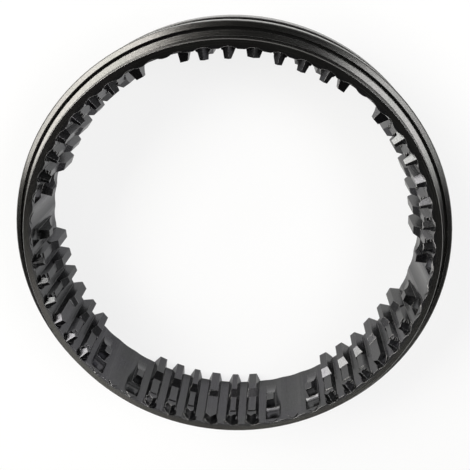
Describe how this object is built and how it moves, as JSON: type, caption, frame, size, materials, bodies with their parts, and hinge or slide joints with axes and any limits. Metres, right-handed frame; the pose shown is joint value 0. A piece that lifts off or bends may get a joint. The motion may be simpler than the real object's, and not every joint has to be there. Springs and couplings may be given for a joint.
{
  "type": "synchronizer ring",
  "caption": "Sliding synchronizer ring with a fork groove round the outside, a coned front collar and blocks of pointed dog teeth inside.",
  "frame": {"origin": "on the ring's axis, in the plane of the flat back face that it lies on", "axes": "+Z along the ring's axis towards the front face with the pointed tooth ends; +X through the middle of one of the gaps that have no tooth"},
  "size_m": [0.16, 0.16, 0.032],
  "materials": {
    "phosphated_steel": "dark grey phosphated and oiled steel, satin, with fine turning lines round the axis"
  },
  "bodies": {
    "root": {"synchronizer_ring": "phosphated_steel"}
  },
  "joints": []
}
